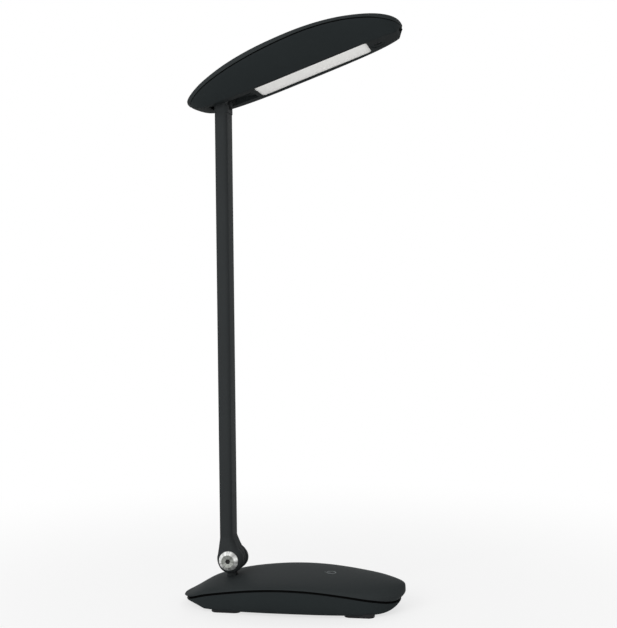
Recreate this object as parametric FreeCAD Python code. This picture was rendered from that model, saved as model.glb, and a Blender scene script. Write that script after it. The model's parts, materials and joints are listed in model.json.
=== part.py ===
"""LED table lamp: a rounded base, a flat upright arm and a leaf shaped head.

Millimetres, +Z up, +X from the hinge towards the front tip of the base.
The origin lies on the table, below the middle of the base.
"""
import FreeCAD
import Part
import math
import os

from FreeCAD import Vector

OUT = "parts"
os.makedirs(OUT, exist_ok=True)

# Overrun of every cut, and the clearances between pieces
overrun = 1.0
slide_clearance = 0.15
running_clearance = 0.05
moving_clearance = 0.4

# Base housing
base_half_length = 76.5
base_half_width = 36.0
base_land_half_width = 30.0
base_rim_height = 16.4
base_rise = 8.0
base_underside = 2.0
base_wall = 2.4
base_plan_power = 2.2
base_land_power = 3.0
base_side_share = 0.3
base_flank_share = 0.7
# Heights at nine even stations from the rear tip to the front tip
base_rim_shares = (0.146, 0.463, 0.744, 0.933, 1.0, 0.921, 0.787, 0.54, 0.44)
base_rise_shares = (0.35, 0.78, 0.74, 0.65, 0.65, 0.84, 1.0, 1.3, 1.1)
base_level_shares = (0.62, 0.74)
base_lift_power = 1.6

# Parting groove of both housings
groove_width = 1.1
lip_inset = 1.2
lip_height = 1.0
lip_share = 0.2
thinnest = 1.0
roof_share = 0.55
section_count = 11
end_section_count = 4
hollow_end_deg = 54.0
tip_end_deg = 85.0

# Head housing, in the head's own frame: X along the head, origin on its pivot
head_half_length = 77.0
head_half_width = 41.0
head_land_half_width = 20.8
head_rear_reach = 23.0
head_rim_height = 17.4
head_rise = 4.2
head_wall = 2.0
head_plan_power = 2.2
head_land_power = 3.0
head_side_share = 0.65
head_flank_share = 0.6
head_rim_shares = (0.52, 0.73, 0.92, 1.0, 1.03, 1.0, 0.92, 0.755, 0.44)
head_rise_shares = (0.60, 0.85, 0.95, 1.0, 1.0, 1.0, 0.95, 0.85, 0.45)
head_level_shares = (0.77, 0.95)
head_lift_power = 1.2
head_pivot_depth = 3.5
head_tilt_deg = 19.8

# Lower hinge
hinge_inset = 33.3
hinge_height = 31.0
drum_radius = 9.4
drum_width = 23.0
drum_edge = 6.0
tongue_width = 6.0
tongue_radius = 9.2
stem_length = 5.6
washer_radius = 6.0
washer_thickness = 0.8
bolt_radius = 3.0
bolt_head_radius = 6.6
bolt_head_thickness = 3.2
bolt_head_proud = 1.6
bolt_chamfer = 2.2
bolt_face_radius = 3.9
bolt_face_depth = 0.3
bolt_socket_width = 3.0
bolt_socket_depth = 1.4
spring_washer_radius = 5.4
spring_washer_thickness = 0.6
cap_thickness = 1.8
cap_chamfer = 0.8
cap_proud = 0.6
cap_hole_depth = 1.0
seat_gap = 0.5
seat_half_length = 4.8
seat_half_width = 7.0
seat_root = 2.0
socket_sides = 6

# Arm
arm_thickness = 8.8
arm_width = 18.4
arm_corner = 3.0
arm_wall = 1.4
arm_offset = 2.3
arm_bottom = 46.3
arm_top = 335.0
spigot_length = 16.0
cable_radius = 1.5
cable_end = 0.6
grub_radius = 1.5
grub_length = 2.6

# Neck and head hinge
pivot_rise = 7.7
neck_overlap = 0.3
neck_shoulder = 5.2
neck_eye_radius = 4.2
neck_gap_half_width = 4.0
neck_gap_floor = 2.5
axle_radius = 1.6
axle_head_radius = 2.4
axle_head_thickness = 1.2
axle_washer_radius = 3.2
axle_washer_thickness = 0.5
axle_end = 1.6
ring_radius = 2.4
ring_thickness = 0.8
ear_thickness = 2.0
ear_front = 6.6
bracket_top = 6.3
bracket_end = 22.0
slot_rear = 8.8
slot_front = 7.0
channel_end = 22.2
channel_high = 2.5
channel_low = -1.9
channel_roof = 4.5
channel_side_wall = 2.0
channel_end_wall = 1.3

# Light panel
panel_start = 25.0
panel_margin = 25.7
panel_half_width = 17.4
panel_corner = 3.0
panel_recess = 1.0
panel_flange = 1.2
panel_thickness = 2.0
reflector_height = 6.0
reflector_wall = 1.2
reflector_window_margin = 8.0
reflector_window_half_width = 8.0
led_board_margin = 5.0
led_board_half_width = 24.0
led_board_thickness = 1.4
led_post_margin = 20.0
led_post_y = 21.0
led_post_radius = 2.6
led_count = 8
led_size = 3.0
led_height = 0.7

# Screws, in the head's frame where they hold the head
screw_radius = 1.4
screw_head_radius = 2.7
screw_head_height = 1.6
screw_reach = 4.0
channel_screw_x = 17.0
channel_screw_seat = 1.4
recess_gap = 6.2
recess_half_length = 5.0
recess_half_width = 9.0
recess_depth = 1.0
front_boss_top = 2.0
boss_radius = 4.4
cover_post_radius = 3.2
cover_screw_reach = 5.0

# Feet, posts and shell screws of the base
foot_length = 20.0
foot_width = 9.0
foot_corner = 4.0
foot_sink = 0.8
foot_rear_inset = 34.5
foot_front_inset = 28.5
foot_y = 22.5
post_radius = 4.4
post_split = 10.0
top_post_radius = 3.4
top_post_share = 0.5
shell_screw_reach = 4.5

# Ballast and the plate that carries the hinge post
ballast_rear_margin = 3.8
ballast_front_margin = 5.0
ballast_half_width = 16.0
ballast_wide_start = 17.0
ballast_wide_margin = 4.0
ballast_wide_half_width = 27.0
ballast_height = 6.0
ballast_corner = 3.0
ballast_screw_rear = 33.0
ballast_screw_front = 11.0
plate_rear_margin = 7.3
plate_front_margin = 21.2
plate_half_width = 12.0
plate_thickness = 3.0
plate_screw_start = 5.2
plate_screw_pitch = 11.0
plate_screw_y = 8.0
post_screw_size = 1.3
post_screw_reach = 8.0

# Electronics in the base
board_length = 36.0
board_foot_gap = 6.0
board_half_width = 21.0
board_height = 12.5
board_thickness = 1.2
board_post_inset = 4.0
board_post_y = 18.8
board_post_radius = 2.6
board_tab_end = 29.0
chip_size = 8.0
chip_height = 1.4
chip_start = 10.0
chip_y = 4.0
coil_radius = 4.0
coil_height = 4.2
coil_margin = 9.0
coil_y = 9.0
capacitor_radius = 3.0
capacitor_height = 5.0
capacitor_margin = 9.0
capacitor_y = -3.0
port_margin = 16.0
port_length = 9.0
port_height = 3.2
port_depth = 7.4
port_mouth = 33.2
port_frame = 1.0
touch_margin = 15.0
touch_y = -15.0
touch_radius = 5.0
touch_thickness = 0.6
touch_depth = 3.6
touch_boss_height = 2.0
spring_radius = 2.2
spring_wire = 0.5

# Derived places
floor_top = base_underside + base_wall
ballast_top = floor_top + ballast_height
hinge_x = hinge_inset - base_half_length
foot_rear_x = foot_rear_inset - base_half_length
foot_front_x = base_half_length - foot_front_inset
board_front = foot_front_x - board_foot_gap
board_rear = board_front - board_length
board_post_xs = (board_rear + board_post_inset, board_front - board_post_inset)
chip_x = board_rear + chip_start
coil_x = board_front - coil_margin
capacitor_x = board_front - capacitor_margin
port_x = board_front - port_margin
touch_x = board_front - touch_margin
ballast_rear = hinge_x - ballast_rear_margin
ballast_front = foot_front_x - ballast_front_margin
ballast_wide_rear = ballast_rear + ballast_wide_start
ballast_wide_front = board_rear - ballast_wide_margin
ballast_screw_xs = (ballast_rear + ballast_screw_rear, ballast_front - ballast_screw_front)
plate_rear = hinge_x - plate_rear_margin
plate_front = hinge_x + plate_front_margin
plate_screw_xs = (hinge_x + plate_screw_start, hinge_x + plate_screw_start + plate_screw_pitch)
arm_x = hinge_x - arm_offset
pivot = Vector(arm_x, 0, arm_top + pivot_rise)
slot_half_width = tongue_width / 2 + washer_thickness + running_clearance * 2
neck_half_width = arm_width / 2 + neck_overlap
ear_inside = neck_half_width + axle_washer_thickness + running_clearance * 2
ear_outside = ear_inside + ear_thickness
head_floor = head_wall - head_pivot_depth
reflector_top = head_floor + panel_thickness + reflector_height
head_middle = head_half_length - head_rear_reach
panel_end = head_middle + head_half_length - panel_margin
led_board_start = panel_start + led_board_margin
led_board_end = panel_end - led_board_margin
led_post_stations = (panel_start + led_post_margin, panel_end - led_post_margin)
recess_x = panel_end + recess_gap
sides = (-1, 1)
quarter_turn = math.pi / 2


class Pod:
    """A rounded housing whose outline, rim, crest and flat underside follow its length."""

    def __init__(self, half_length, half_width, land, heights, powers, fullness, shares, lift, wall, middle=0.0):
        self.half_length = half_length
        self.half_width = half_width
        self.land_half_width = land
        self.rim_height, self.rise_height, self.underside = heights
        self.plan_power, self.land_power = powers
        self.side_share, self.flank_share = fullness
        self.rim_shares, self.rise_shares = shares
        self.level_shares, self.lift_power = lift
        self.wall = wall
        self.middle = middle

    def share(self, x):
        return (x - self.middle) / self.half_length

    def rim(self, x):
        return self.underside + self.rim_height * along(self.rim_shares, self.share(x))

    def rise(self, x):
        return self.rise_height * along(self.rise_shares, self.share(x))

    def floor(self, x):
        share = self.share(x)
        level = self.level_shares[share > 0]
        beyond = max(abs(share) - level, 0) / (1 - level)
        lift = self.rim(x) - self.underside - groove_width / 2 - thinnest
        return self.underside + max(lift, 0) * beyond ** self.lift_power

    def wide(self, x, inset=0.0):
        """Half width of the outline drawn in by an inset."""
        share = (x - self.middle) / (self.half_length - inset)
        return (self.half_width - inset) * rounded(share, self.plan_power)

    def land(self, x, inset=0.0):
        share = (x - self.middle) / (self.half_length - inset)
        return (self.land_half_width - inset) * rounded(share, self.land_power)

    def lip(self, x):
        return min(lip_height, lip_share * self.rise(x))


def along(shares, share):
    """Smooth value between evenly spaced shares; share runs from -1 to 1."""
    last = len(shares) - 1
    place = min(max((share + 1) / 2 * last, 0), last)
    i = min(int(place), last - 1)
    t = place - i
    before = shares[max(i - 1, 0)]
    after = shares[min(i + 2, last)]
    a, b = shares[i], shares[i + 1]
    slope_a, slope_b = (b - before) / 2, (after - a) / 2
    return (a * (1 + 2 * t) * (1 - t) ** 2 + slope_a * t * (1 - t) ** 2
            + b * t * t * (3 - 2 * t) - slope_b * t * t * (1 - t))


def rounded(share, power):
    """Half width of a rounded outline, as a share of its largest."""
    return max(1 - abs(share) ** power, 0) ** (1 / power)


def chain(points):
    return [Part.makeLine(a, b) for a, b in zip(points, points[1:])]


def arc(a, b, c):
    return Part.Arc(a, b, c).toShape()


def dome(pod, x, wide, low, high):
    """Short upright walls joined by one wide arc, from right to left."""
    wall_top = low + (high - low) * pod.side_share
    shoulder = Vector(x, wide, wall_top)
    foot = Vector(x, wide, low)
    return [Part.makeLine(foot, shoulder), arc(shoulder, Vector(x, 0, high), flip(shoulder)),
            Part.makeLine(flip(shoulder), flip(foot))]


def flank(pod, x, wide, land, high, low):
    """Bulging right side, from the flat underside out to the rim."""
    full = pod.flank_share
    middle = Vector(x, land + (wide - land) * full, high + (low - high) * full)
    return Vector(x, land, low), middle, Vector(x, wide, high)


def flip(point):
    return Vector(point.x, -point.y, point.z)


def lower_outside(pod, x, top):
    """Flanks and underside of the lower shell, from the left rim round to the right."""
    wide = pod.wide(x)
    land = min(pod.land(x), wide - thinnest)
    low = min(pod.floor(x), top - thinnest)
    inner, middle, outer = flank(pod, x, wide, land, top, low)
    return [arc(flip(outer), flip(middle), flip(inner)), Part.makeLine(flip(inner), inner),
            arc(inner, middle, outer)]


def lower_tray(pod, x):
    """Closed profile of the lower shell where it is hollow."""
    top = pod.rim(x) - groove_width / 2
    tip = pod.rim(x) + pod.lip(x)
    wide, lip, inside = pod.wide(x), pod.wide(x, lip_inset), pod.wide(x, pod.wall)
    land = min(pod.land(x, pod.wall), inside - thinnest)
    bend = top - thinnest / 2
    low = min(pod.floor(x) + pod.wall, bend - thinnest)
    inner, middle, outer = flank(pod, x, inside, land, bend, low)
    right = [Vector(x, wide, top), Vector(x, lip, top), Vector(x, lip, tip), Vector(x, inside, tip),
             outer, middle, inner]
    left = [flip(point) for point in reversed(right)]
    return Part.Wire(lower_outside(pod, x, top) + chain(right + left))


def lower_end(pod, x):
    """Closed profile of the lower shell where it is solid."""
    top = pod.rim(x) - groove_width / 2
    wide = pod.wide(x)
    return Part.Wire(lower_outside(pod, x, top) + [Part.makeLine(Vector(x, wide, top), Vector(x, -wide, top))])


def lip_end(pod, x):
    """Profile of the lip across a solid end."""
    half = pod.wide(x, lip_inset)
    low, high = pod.rim(x) - groove_width, pod.rim(x) + pod.lip(x)
    return Part.makePolygon([Vector(x, -half, low), Vector(x, half, low), Vector(x, half, high),
                             Vector(x, -half, high), Vector(x, -half, low)])


def upper_roof(pod, x):
    """Closed profile of the upper shell where it is hollow."""
    low = pod.rim(x) + groove_width / 2
    shelf = max(pod.rim(x) + pod.lip(x) + slide_clearance, low + thinnest / 5)
    crest = pod.rim(x) + pod.rise(x)
    wide, inside = pod.wide(x), pod.wide(x, pod.wall)
    lip = pod.wide(x, lip_inset) + slide_clearance
    roof = max(crest - pod.wall, shelf + thinnest / 5)
    ledge = [Vector(x, wide, low), Vector(x, lip, low), Vector(x, lip, shelf), Vector(x, inside, shelf),
             Vector(x, inside * roof_share, roof)]
    across = [flip(point) for point in ledge] + ledge[::-1]
    return Part.Wire(dome(pod, x, wide, low, crest) + chain(across))


def upper_end(pod, x):
    """Closed profile of the upper shell where it is solid."""
    low = pod.rim(x) + groove_width / 2
    crest = max(pod.rim(x) + pod.rise(x), low + thinnest)
    wide = pod.wide(x)
    return Part.Wire(dome(pod, x, wide, low, crest)
                     + [Part.makeLine(Vector(x, -wide, low), Vector(x, wide, low))])


def rebate_end(pod, x):
    """Profile of the hollow that takes the lip in a solid end."""
    half = pod.wide(x, lip_inset) + slide_clearance
    low, high = pod.rim(x), pod.rim(x) + max(pod.lip(x) + slide_clearance, (groove_width + thinnest) / 2)
    return Part.makePolygon([Vector(x, -half, low), Vector(x, half, low), Vector(x, half, high),
                             Vector(x, -half, high), Vector(x, -half, low)])


def stations(pod, start_deg, end_deg, count, inset=0.0):
    """Places along a pod, closer together towards its rounded ends."""
    turns = [math.radians(start_deg + (end_deg - start_deg) * i / (count - 1)) for i in range(count)]
    return [pod.middle + (pod.half_length - inset) * math.sin(turn) for turn in turns]


def loft(profile, pod, places):
    return Part.makeLoft([profile(pod, x) for x in places], True, False)


def shells(pod):
    """Lower shell with its raised lip, and upper shell with the rebate that takes the lip."""
    lower = loft(lower_tray, pod, stations(pod, -hollow_end_deg, hollow_end_deg, section_count))
    upper = loft(upper_roof, pod, stations(pod, -hollow_end_deg, hollow_end_deg, section_count))
    for side in (-1, 1):
        ends = stations(pod, side * hollow_end_deg, side * tip_end_deg, end_section_count)
        reach = (pod.half_length - lip_inset) * math.sin(math.radians(tip_end_deg))
        lips = [ends[0] + (pod.middle + side * reach - ends[0]) * i / (end_section_count - 1)
                for i in range(end_section_count)]
        lower = lower.fuse(loft(lower_end, pod, ends)).fuse(loft(lip_end, pod, lips))
        upper = upper.fuse(loft(upper_end, pod, ends).cut(loft(rebate_end, pod, lips)))
    return lower, upper


def box(x0, x1, y0, y1, z0, z1):
    return Part.makeBox(x1 - x0, y1 - y0, z1 - z0, Vector(x0, y0, z0))


def rounded_wire(x0, x1, half_width, z, corner):
    """Level rectangle about the X axis with rounded corners."""
    edges = []
    start = None
    for quarter in range(4):
        x = x1 - corner if quarter in (0, 3) else x0 + corner
        y = half_width - corner if quarter in (0, 1) else corner - half_width
        turns = [quarter * quarter_turn + quarter_turn * step / 2 for step in range(3)]
        points = [Vector(x + corner * math.cos(turn), y + corner * math.sin(turn), z) for turn in turns]
        if start:
            edges.append(Part.makeLine(last, points[0]))
        start = start or points[0]
        last = points[-1]
        edges.append(arc(*points))
    return Part.Wire(edges + [Part.makeLine(last, start)])


def rounded_plate(x0, x1, half_width, z0, z1, corner):
    """Flat plate about the X axis with rounded upright corners."""
    return Part.Face(rounded_wire(x0, x1, half_width, z0, corner)).extrude(Vector(0, 0, z1 - z0))


def oval(x, y, half_length, half_width, z0, z1):
    """Upright elliptical peg, longer along Y."""
    middle = Vector(x, y, z0)
    curve = Part.Ellipse(middle + Vector(0, half_width, 0), middle + Vector(half_length, 0, 0), middle)
    return Part.Face(Part.Wire(curve.toShape())).extrude(Vector(0, 0, z1 - z0))


def peg(x, y, z0, z1, radius):
    """Upright round peg, or the hole for one."""
    return Part.makeCylinder(radius, z1 - z0, Vector(x, y, z0))


def cross_pin(x, z, y0, y1, radius):
    """Round pin along Y, or the hole for one."""
    return Part.makeCylinder(radius, y1 - y0, Vector(x, y0, z), Vector(0, 1, 0))


def washer(x, z, y0, y1, radius, bore):
    return cross_pin(x, z, y0, y1, radius).cut(cross_pin(x, z, y0 - overrun, y1 + overrun, bore))


def side_prism(corners, half_width):
    """Prism across the X axis from corners given as (x, z) pairs."""
    points = [Vector(x, -half_width, z) for x, z in corners]
    face = Part.Face(Part.makePolygon(points + points[:1]))
    return face.extrude(Vector(0, half_width + half_width, 0))


def joined(first, others):
    for shape in others:
        first = first.fuse(shape)
    return first


def without(first, others):
    for shape in others:
        first = first.cut(shape)
    return first


def screw(x, y, seat, tip, facing, size=1.0):
    """Cheese head screw on a flat seat; facing is the side, up or down, where its head lies."""
    head_end = seat + facing * screw_head_height * size
    head = peg(x, y, min(seat, head_end), max(seat, head_end), screw_head_radius * size)
    shank = peg(x, y, min(seat, tip), max(seat, tip), screw_radius * size)
    drive_start = (seat + head_end) / 2
    drive = peg(x, y, min(drive_start, head_end), max(drive_start, head_end), screw_head_radius * size / 3)
    return head.fuse(shank).cut(drive)


def base_pod():
    return Pod(base_half_length, base_half_width, base_land_half_width,
               (base_rim_height, base_rise, base_underside),
               (base_plan_power, base_land_power), (base_side_share, base_flank_share),
               (base_rim_shares, base_rise_shares), (base_level_shares, base_lift_power), base_wall)


def head_pod():
    """The head's form in its own frame, with the underside below the pivot."""
    return Pod(head_half_length, head_half_width, head_land_half_width,
               (head_rim_height, head_rise, -head_pivot_depth),
               (head_plan_power, head_land_power), (head_side_share, head_flank_share),
               (head_rim_shares, head_rise_shares), (head_level_shares, head_lift_power), head_wall, head_middle)


def foot_places():
    return [(x, side * foot_y) for x in (foot_rear_x, foot_front_x) for side in sides]


def foot(x, y, clearance=0.0):
    """Rubber foot, or with a clearance the recess that takes it."""
    half = foot_length / 2 + clearance
    pad = rounded_plate(x - half, x + half, foot_width / 2 + clearance, 0, base_underside + foot_sink,
                        foot_corner + clearance)
    pad.translate(Vector(0, y, 0))
    return pad


def shell_screw_seat():
    return base_underside + foot_sink + screw_head_height


def shell_screw(x, y):
    return screw(x, y, shell_screw_seat(), post_split + shell_screw_reach, -1)


def board_post_places():
    return [(board_post_xs[0], -board_post_y), (board_post_xs[0], board_post_y),
            (board_post_xs[1], -board_post_y), (board_post_xs[1], board_post_y)]


def base_bottom_shell(lower):
    """Lower housing with posts, foot recesses and the opening of the charging port."""
    inside = floor_top - base_wall / 2
    head_radius = screw_head_radius * post_screw_size + slide_clearance
    level = without(lower, ballast_forms(overrun)
                    + [peg(hinge_x, 0, floor_top, post_screw_seat(), head_radius)])
    shell = joined(level, [peg(x, y, inside, post_split, post_radius) for x, y in foot_places()]
                   + [peg(x, y, inside, board_height, board_post_radius) for x, y in board_post_places()])
    for x, y in foot_places():
        seat = shell_screw_seat()
        shell = without(shell, [foot(x, y, slide_clearance),
                                peg(x, y, 0, seat, screw_head_radius + slide_clearance),
                                peg(x, y, 0, post_split + overrun, screw_radius + slide_clearance)])
    for x, y in board_post_places():
        shell = shell.cut(peg(x, y, floor_top, board_height + overrun, screw_radius))
    for x in ballast_screw_xs:
        seat = base_underside + screw_head_height
        shell = without(shell, [peg(x, 0, 0, seat, screw_head_radius + slide_clearance),
                                peg(x, 0, 0, floor_top + overrun, screw_radius + slide_clearance)])
    return shell.cut(port_opening())


def port_level():
    return board_height - port_height / 2


def port_opening():
    half = port_length / 2 + slide_clearance
    rise = port_height / 2 + slide_clearance
    return box(port_x - half, port_x + half, port_mouth - base_wall - overrun, base_half_width + overrun,
               port_level() - rise, port_level() + rise)


def charge_port():
    """Metal socket with its contact tongue, below the edge of the board."""
    half, rise = port_length / 2, port_height / 2
    back = port_mouth - port_depth
    body = box(port_x - half, port_x + half, back, port_mouth, board_height - port_height, board_height)
    wall = port_frame / 2
    hollow = box(port_x - half + wall, port_x + half - wall, back + port_frame, port_mouth + overrun,
                 port_level() - rise + wall, port_level() + rise - wall)
    tongue = box(port_x - half + port_frame, port_x + half - port_frame, back, port_mouth - port_frame,
                 port_level() - wall / 2, port_level() + wall / 2)
    return body.cut(hollow).fuse(tongue)


def touch_roof(pod):
    return pod.rim(touch_x) + pod.rise(touch_x) - touch_depth


def hinge_opening():
    """Upright way through the top shell for the stem of the hinge post."""
    half_length = stem_length / 2 + moving_clearance
    half_width = tongue_width / 2 + moving_clearance
    return box(hinge_x - half_length, hinge_x + half_length, -half_width, half_width, ballast_top, hinge_height)


def base_top_shell(upper, pod):
    """Upper housing with screw posts, the seat below the hinge and the boss of the touch pad."""
    seat_top = hinge_height - drum_radius - seat_gap
    seat_foot = pod.rim(hinge_x) + pod.rise(hinge_x) - seat_root
    electrode_top = touch_roof(pod)
    posts = [peg(x, y, post_split, pod.rim(x) + pod.rise(x) * top_post_share, top_post_radius)
             for x, y in foot_places()]
    seat = oval(hinge_x, 0, seat_half_length, seat_half_width, seat_foot, seat_top)
    boss = peg(touch_x, touch_y, electrode_top, electrode_top + touch_boss_height, touch_radius)
    shell = joined(upper, posts + [seat, boss])
    pilots = [peg(x, y, post_split - overrun, post_split + shell_screw_reach, screw_radius)
              for x, y in foot_places()]
    return without(shell, pilots + [hinge_opening()])


def plate_screw_places():
    return [(x, side * plate_screw_y) for x in plate_screw_xs for side in sides]


def post_screw_seat():
    return floor_top + screw_head_height * post_screw_size


def ballast_forms(thickness):
    """Long and wide plates of the ballast, or the level seats for them."""
    top = floor_top + thickness
    return [rounded_plate(ballast_rear, ballast_front, ballast_half_width, floor_top, top, ballast_corner),
            rounded_plate(ballast_wide_rear, ballast_wide_front, ballast_wide_half_width, floor_top, top,
                          ballast_corner)]


def ballast_plate():
    """Steel weight with holes for its screws and for the screw of the hinge post."""
    long, wide = ballast_forms(ballast_height)
    above = ballast_top + overrun
    below = floor_top - overrun
    holes = [peg(x, 0, below, floor_top + screw_reach, screw_radius) for x in ballast_screw_xs]
    holes += [peg(x, y, ballast_top - screw_reach, above, screw_radius) for x, y in plate_screw_places()]
    head_radius = screw_head_radius * post_screw_size + slide_clearance
    shank_radius = screw_radius * post_screw_size + slide_clearance
    holes += [peg(hinge_x, 0, below, post_screw_seat(), head_radius),
              peg(hinge_x, 0, below, above, shank_radius)]
    rear = box(ballast_rear - overrun, hinge_x, -head_radius, head_radius, below, post_screw_seat())
    return without(long.fuse(wide), holes + [rear])


def hinge_plate():
    """Steel plate round the foot of the hinge post, screwed to the ballast."""
    top = ballast_top + plate_thickness
    plate = rounded_plate(plate_rear, plate_front, plate_half_width, ballast_top, top, ballast_corner)
    half_length = stem_length / 2 + slide_clearance
    half_width = tongue_width / 2 + slide_clearance
    way = box(hinge_x - half_length, hinge_x + half_length, -half_width, half_width,
              ballast_top - overrun, top + overrun)
    heads = [peg(x, y, top - screw_head_height, top + overrun, screw_head_radius + slide_clearance)
             for x, y in plate_screw_places()]
    shanks = [peg(x, y, ballast_top - overrun, top, screw_radius + slide_clearance)
              for x, y in plate_screw_places()]
    return without(plate, [way] + heads + shanks)


def plate_screw(x, y):
    return screw(x, y, ballast_top + plate_thickness - screw_head_height, ballast_top - screw_reach, 1)


def hinge_post():
    """Fixed tongue of the lower hinge, standing on the ballast."""
    half = stem_length / 2
    eye = cross_pin(hinge_x, hinge_height, -tongue_width / 2, tongue_width / 2, tongue_radius)
    stem = box(hinge_x - half, hinge_x + half, -tongue_width / 2, tongue_width / 2, ballast_top, hinge_height)
    bore = cross_pin(hinge_x, hinge_height, -tongue_width, tongue_width, bolt_radius + running_clearance)
    thread = peg(hinge_x, 0, ballast_top - overrun, ballast_top + post_screw_reach,
                 screw_radius * post_screw_size)
    return without(eye.fuse(stem), [bore, thread])


def control_board():
    """Circuit board with the tab that carries the charging port."""
    top = board_height + board_thickness
    board = box(board_rear, board_front, -board_half_width, board_half_width, board_height, top)
    half = port_length / 2 + port_frame
    tab = box(port_x - half, port_x + half, 0, board_tab_end, board_height, top)
    holes = [peg(x, y, board_height - overrun, top + overrun, screw_radius + slide_clearance)
             for x, y in board_post_places()]
    return without(board.fuse(tab), holes)


def touch_spring(pod):
    """Spring from the board to the touch pad, drawn as its sleeve."""
    low, high = board_height + board_thickness, touch_roof(pod) - touch_thickness
    return peg(touch_x, touch_y, low, high, spring_radius).cut(
        peg(touch_x, touch_y, low - overrun, high + overrun, spring_radius - spring_wire))


def base_nodes():
    pod = base_pod()
    lower, upper = shells(pod)
    board_top = board_height + board_thickness
    chip_half = chip_size / 2
    pad_top = touch_roof(pod)
    nodes = {
        "base_bottom_shell": base_bottom_shell(lower),
        "base_top_shell": base_top_shell(upper, pod),
        "ballast_plate": ballast_plate(),
        "hinge_plate": hinge_plate(),
        "hinge_post": hinge_post(),
        "post_screw": screw(hinge_x, 0, post_screw_seat(), ballast_top + post_screw_reach, -1, post_screw_size),
        "control_board": control_board(),
        "control_chip": box(chip_x - chip_half, chip_x + chip_half, chip_y - chip_half, chip_y + chip_half,
                            board_top, board_top + chip_height),
        "inductor": peg(coil_x, coil_y, board_top, board_top + coil_height, coil_radius),
        "capacitor": peg(capacitor_x, capacitor_y, board_top, board_top + capacitor_height, capacitor_radius),
        "charge_port": charge_port(),
        "touch_electrode": peg(touch_x, touch_y, pad_top - touch_thickness, pad_top, touch_radius),
        "touch_spring": touch_spring(pod),
    }
    for i, (x, y) in enumerate(foot_places(), 1):
        nodes["foot_%d" % i] = foot(x, y)
        nodes["shell_screw_%d" % i] = shell_screw(x, y)
    for i, (x, y) in enumerate(plate_screw_places(), 1):
        nodes["plate_screw_%d" % i] = plate_screw(x, y)
    for i, (x, y) in enumerate(board_post_places(), 1):
        nodes["board_screw_%d" % i] = screw(x, y, board_top, board_height - screw_reach, 1)
    for i, x in enumerate(ballast_screw_xs, 1):
        nodes["ballast_screw_%d" % i] = screw(x, 0, base_underside + screw_head_height,
                                              floor_top + screw_reach, -1)
    return nodes


def arm_section(inset, z0, z1):
    """Length of the arm's rounded section, drawn in by an inset."""
    half = arm_thickness / 2 - inset
    return rounded_plate(arm_x - half, arm_x + half, arm_width / 2 - inset, z0, z1, arm_corner - inset)


def grub_places():
    return (arm_bottom + spigot_length / 2, arm_top - spigot_length / 2)


def grub_pin(z, length, radius):
    """Round pin pressed into the rear of the arm."""
    return Part.makeCylinder(radius, length, Vector(arm_x - arm_thickness / 2, 0, z), Vector(1, 0, 0))


def grub_holes():
    radius = grub_radius + running_clearance
    return [grub_pin(z, grub_length, radius) for z in grub_places()]


def arm_tube():
    tube = arm_section(0, arm_bottom, arm_top)
    return without(tube, [arm_section(arm_wall, arm_bottom - overrun, arm_top + overrun)] + grub_holes())


def spigot(z0, z1):
    return arm_section(arm_wall + slide_clearance, z0, z1)


def cable_way():
    return peg(arm_x, 0, hinge_height, pivot.z, cable_radius + slide_clearance)


def drum():
    """Barrel about the hinge axis with round edges."""
    half, full = drum_width / 2, Vector(hinge_x + drum_radius, 0, hinge_height)
    flat = drum_radius - drum_edge
    diagonal = drum_edge * math.sqrt(2) / 2
    side = Vector(full.x, half - drum_edge, hinge_height)
    corner = Vector(hinge_x + flat + diagonal, half - drum_edge + diagonal, hinge_height)
    face = Vector(hinge_x + flat, half, hinge_height)
    axis = Vector(hinge_x, half, hinge_height)
    edges = chain([flip(axis), flip(face)]) + [arc(flip(face), flip(corner), flip(side))]
    edges += chain([flip(side), side]) + [arc(side, corner, face)] + chain([face, axis, flip(axis)])
    return Part.Face(Part.Wire(edges)).revolve(flip(axis), Vector(0, 1, 0), 360)


def lower_knuckle():
    """Moving half of the lower hinge: a rounded drum that tapers up into the arm."""
    taper = Part.makeLoft(
        [rounded_wire(hinge_x - drum_radius, hinge_x + drum_radius, drum_width / 2, hinge_height, drum_edge),
         rounded_wire(arm_x - arm_thickness / 2, arm_x + arm_thickness / 2, arm_width / 2, arm_bottom, arm_corner)],
        True, True)
    body = joined(drum(), [taper, spigot(arm_bottom - overrun, arm_bottom + spigot_length)])
    slot = cross_pin(hinge_x, hinge_height, -slot_half_width, slot_half_width, tongue_radius + moving_clearance)
    relief = box(hinge_x, hinge_x + drum_radius + overrun, -slot_half_width, slot_half_width,
                 hinge_height - drum_radius, hinge_height + stem_length / 2 + moving_clearance)
    bore = cross_pin(hinge_x, hinge_height, -drum_width, drum_width, bolt_radius + running_clearance)
    recess_radius = bolt_head_radius + slide_clearance
    near = cross_pin(hinge_x, hinge_height, -drum_width, bolt_seat(), recess_radius)
    far = cross_pin(hinge_x, hinge_height, cap_seat(), drum_width, recess_radius)
    return without(body, [slot, relief, bore, near, far, cable_way()] + grub_holes())


def bolt_head_back():
    return bolt_head_thickness - drum_width / 2 - bolt_head_proud


def bolt_seat():
    return bolt_head_back() + spring_washer_thickness


def cap_seat():
    return drum_width / 2 + cap_proud - cap_thickness


def hexagon(x, z, y0, y1, width):
    """Prism along Y with six sides, as wide as a key."""
    radius = width / math.sqrt(3)
    turns = [quarter_turn * 4 * i / socket_sides for i in range(socket_sides)]
    points = [Vector(x + radius * math.cos(turn), y0, z + radius * math.sin(turn)) for turn in turns]
    return Part.Face(Part.makePolygon(points + points[:1])).extrude(Vector(0, y1 - y0, 0))


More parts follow.
